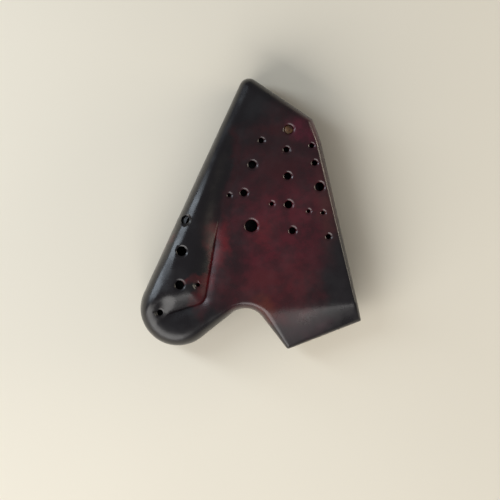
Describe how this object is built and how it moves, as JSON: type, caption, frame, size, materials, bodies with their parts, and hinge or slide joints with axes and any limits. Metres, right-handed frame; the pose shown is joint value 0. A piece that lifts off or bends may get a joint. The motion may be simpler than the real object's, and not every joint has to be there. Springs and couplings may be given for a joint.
{
  "type": "triple ocarina",
  "caption": "Triple ocarina: a lacquered vessel flute with joined chambers, a broad mouthpiece, chamfered finger holes in the front and thumb holes in its flat back.",
  "frame": {"origin": "middle of the bounding box in plan, at the level of the flat back that it rests on", "axes": "+Z out of the finger-hole side, +Y from the lobe towards the apex, +X towards the flank with the mouthpiece"},
  "size_m": [0.1538, 0.1888, 0.0457],
  "materials": {
    "lacquer_front": "gloss lacquer, near black clouded with dark red",
    "lacquer_back": "gloss lacquer, near black",
    "bare_body": "bare fired body",
    "block_wood": "smooth unvarnished",
    "amber_plug": "polished amber resin"
  },
  "bodies": {
    "root": {"front_shell": "lacquer_front", "back_shell": "lacquer_back", "chamber_wall_1_2": "bare_body", "chamber_wall_2_3": "bare_body", "windway_block_1": "block_wood", "windway_block_2": "block_wood", "windway_block_3": "block_wood", "tuning_plug": "amber_plug"}
  },
  "joints": []
}
